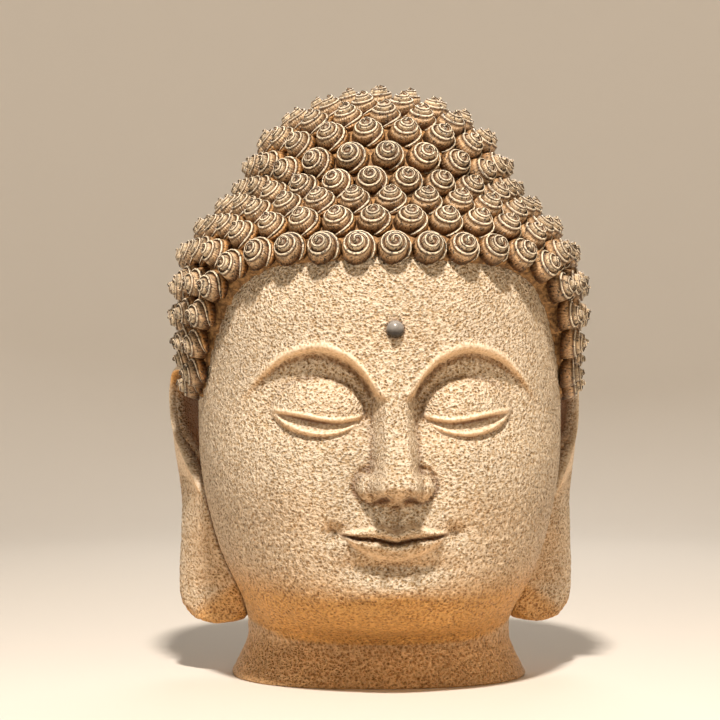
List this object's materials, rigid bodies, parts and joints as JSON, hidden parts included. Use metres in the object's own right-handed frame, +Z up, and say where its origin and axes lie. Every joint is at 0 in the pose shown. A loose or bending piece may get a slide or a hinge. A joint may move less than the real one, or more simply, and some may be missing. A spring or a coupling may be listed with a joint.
{
  "type": "buddha head statue",
  "caption": "Carved stone head with spiral curls, low crown dome, long-lobed ears and calm downcast face, cut flat below the neck to stand on a table.",
  "frame": {"origin": "centre of the flat foot below the neck", "axes": "+Z up through the crown, face towards -Y, +X towards the statue's own left ear"},
  "size_m": [0.3602, 0.4123, 0.5],
  "materials": {
    "carved_stone": "bush-hammered, matt, with smoother carved edges and curls",
    "polished_stone": "satin polish"
  },
  "bodies": {
    "root": {"head": "carved_stone", "urna_bead": "polished_stone"}
  },
  "joints": []
}
